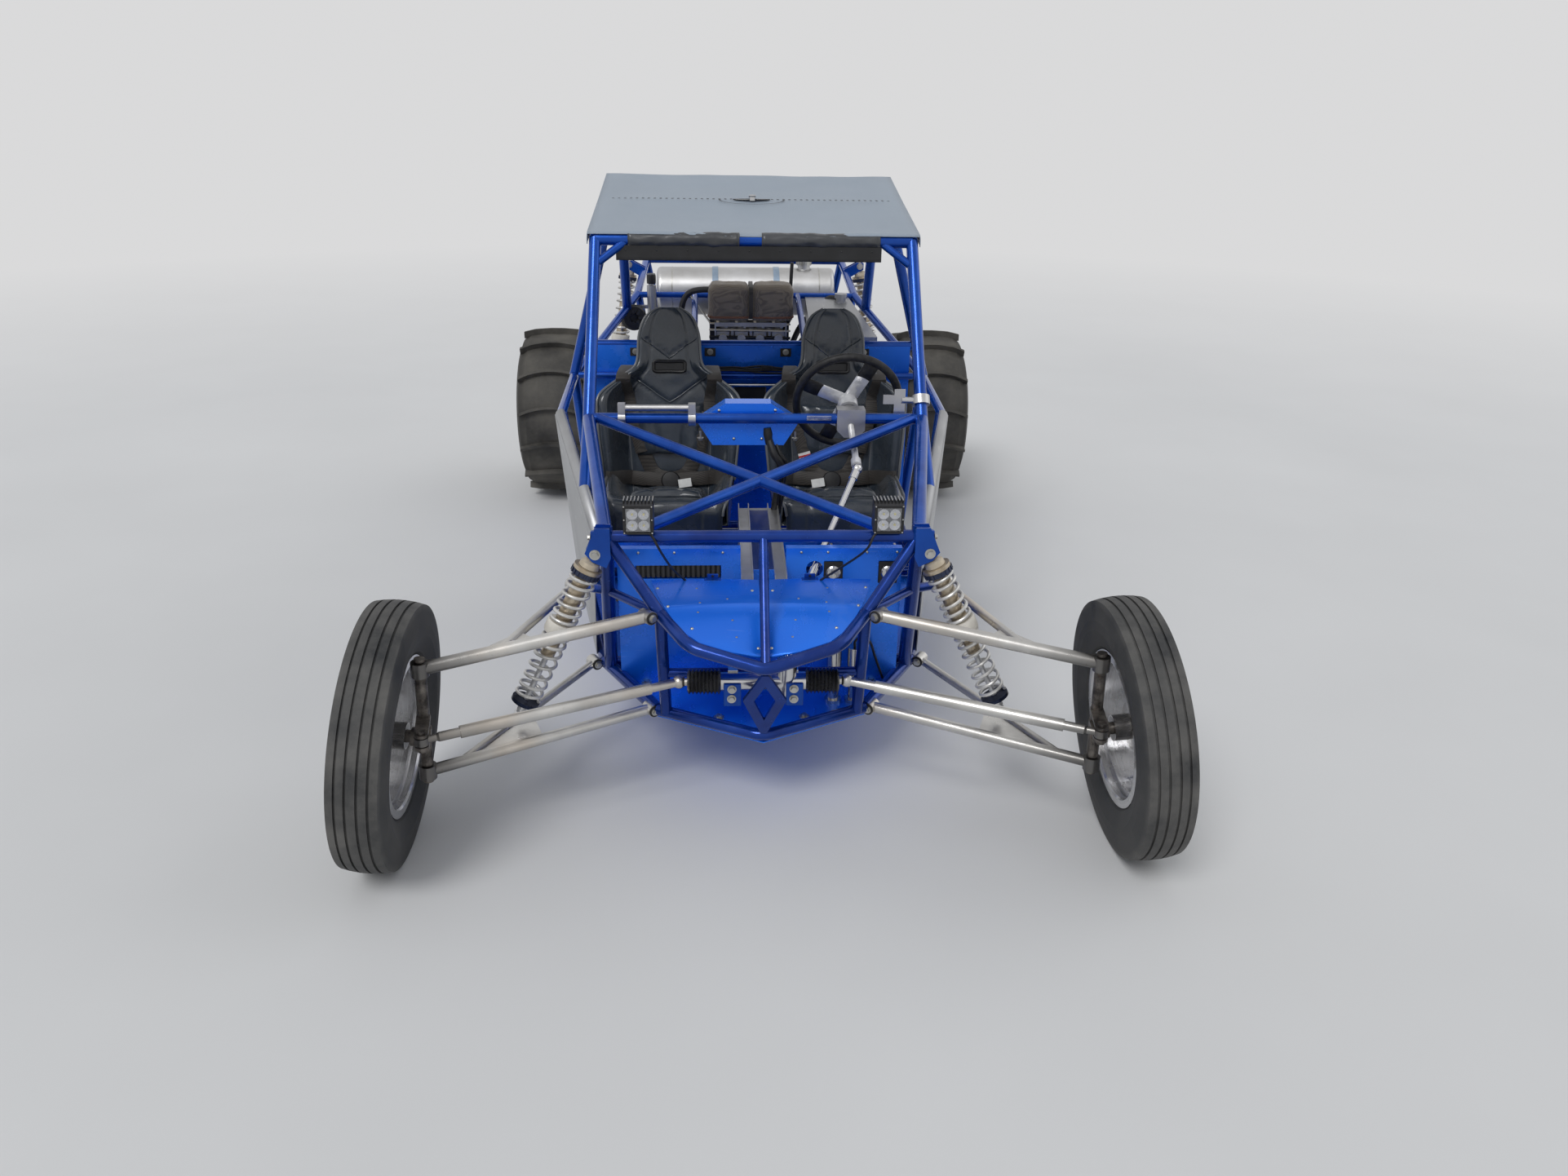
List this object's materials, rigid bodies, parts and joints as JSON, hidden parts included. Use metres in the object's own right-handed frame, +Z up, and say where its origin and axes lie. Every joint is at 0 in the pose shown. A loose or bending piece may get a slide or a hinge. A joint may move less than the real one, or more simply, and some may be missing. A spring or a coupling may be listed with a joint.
{
  "type": "dune buggy",
  "caption": "Two-seat tube-frame sand buggy with long front arms, ribbed front tyres, paddle rear tyres, cloth roof and an open rear engine.",
  "frame": {"origin": "on the ground under the middle of the vehicle's length and width", "axes": "+Z up, +Y from the nose to the tail, +X to the vehicle's left, the driver's side"},
  "size_m": [2.085, 3.7425, 1.5449],
  "materials": {
    "frame_blue": "candy blue gloss paint",
    "panel_blue": "blue anodised sheet",
    "bare_sheet": "worn bare sheet",
    "bare_steel": "bare welded tube",
    "spring_silver": "silver coil",
    "polished": "polished",
    "black_iron": "oily dark casting",
    "tyre": "dusty rubber",
    "black_rubber": "matt",
    "black_vinyl": "vinyl",
    "roof_cloth": "weathered grey-blue coated cloth",
    "filter_cloth": "oiled brown-grey cloth",
    "black_plastic": "satin"
  },
  "bodies": {
    "chassis": {"frame_floor": "frame_blue", "frame_nose": "frame_blue", "frame_sides": "frame_blue", "frame_cage": "frame_blue", "frame_roof": "frame_blue", "frame_hoop": "frame_blue", "frame_rear": "frame_blue", "floor_pan": "panel_blue", "hood_panels": "panel_blue", "side_panels": "bare_sheet", "firewall": "panel_blue", "dash_pod": "panel_blue", "tail_panel": "panel_blue", "roof_cover": "roof_cloth", "roof_visor": "black_plastic", "seat_left": "black_vinyl", "seat_right": "black_vinyl", "arms_front_upper": "bare_steel", "arms_front_lower": "bare_steel", "dampers_front": "polished", "springs_front": "spring_silver", "shock_towers": "frame_blue", "arms_rear": "frame_blue", "dampers_rear": "polished", "springs_rear": "spring_silver", "chain_drive": "black_iron", "rack_housing": "polished", "rack_bellows": "black_rubber", "column_bearing": "polished", "engine": "black_iron", "carburettors": "black_iron", "air_filters": "filter_cloth", "exhaust": "bare_steel", "fuel_tank": "polished", "tank_straps": "polished", "oil_tanks": "bare_sheet", "lamps": "black_plastic", "bulkhead": "panel_blue", "console": "bare_sheet", "pedals": "polished", "bar_fittings": "polished", "tow_bracket": "frame_blue"},
    "knuckle_left": {"knuckle_left": "black_iron"},
    "knuckle_right": {"knuckle_right": "black_iron"},
    "wheel_front_left": {"tyre_front_left": "tyre", "rim_front_left": "polished"},
    "wheel_front_right": {"tyre_front_right": "tyre", "rim_front_right": "polished"},
    "wheel_rear_left": {"tyre_rear_left": "tyre", "rim_rear_left": "polished"},
    "wheel_rear_right": {"tyre_rear_right": "tyre", "rim_rear_right": "polished"},
    "rack": {"rack_bar": "bare_steel"},
    "steering_wheel": {"steering_wheel": "black_rubber"},
    "steering_shaft": {"steering_shaft": "polished"}
  },
  "joints": [
    {"name": "steer_left", "type": "hinge", "parent": "chassis", "child": "knuckle_left", "pos_m": [0.858, -1.534, 0.232], "axis": [-0.0309, 0, 0.9995], "range_deg": [-28, 28]},
    {"name": "steer_right", "type": "hinge", "parent": "chassis", "child": "knuckle_right", "pos_m": [-0.858, -1.534, 0.232], "axis": [0.0309, 0, 0.9995], "range_deg": [-28.5, 28.5]},
    {"name": "rack_slide", "type": "slide", "parent": "chassis", "child": "rack", "axis": [1, 0, 0], "range_m": [-0.046, 0.046]},
    {"name": "steering_wheel_turn", "type": "hinge", "parent": "chassis", "child": "steering_wheel", "pos_m": [0.288, -0.534, 0.943], "axis": [0, -0.9397, -0.342], "range_deg": [-198, 198]},
    {"name": "steering_shaft_turn", "type": "hinge", "parent": "chassis", "child": "steering_shaft", "pos_m": [0.288, -0.86195, 0.82363], "axis": [-0.3944, -0.645, -0.6546], "range_deg": [-198, 198]},
    {"name": "front_left_spin", "type": "hinge", "parent": "knuckle_left", "child": "wheel_front_left", "pos_m": [0.9455, -1.534, 0.33951], "axis": [0.9945, 0, 0.1045], "continuous": true},
    {"name": "rear_left_spin", "type": "hinge", "parent": "chassis", "child": "wheel_rear_left", "pos_m": [0.8775, 1.486, 0.388], "axis": [1, 0, 0], "continuous": true},
    {"name": "front_right_spin", "type": "hinge", "parent": "knuckle_right", "child": "wheel_front_right", "pos_m": [-0.9455, -1.534, 0.33951], "axis": [-0.9945, 0, 0.1045], "continuous": true},
    {"name": "rear_right_spin", "type": "hinge", "parent": "chassis", "child": "wheel_rear_right", "pos_m": [-0.8775, 1.486, 0.388], "axis": [-1, 0, 0], "continuous": true}
  ],
  "couplings": [
    {"joint": "steer_right", "follows": "steer_left", "ratio": 1},
    {"joint": "rack_slide", "follows": "steer_left", "m_per_rad": 0.09},
    {"joint": "steering_wheel_turn", "follows": "steer_left", "ratio": -7},
    {"joint": "steering_shaft_turn", "follows": "steer_left", "ratio": -7}
  ]
}
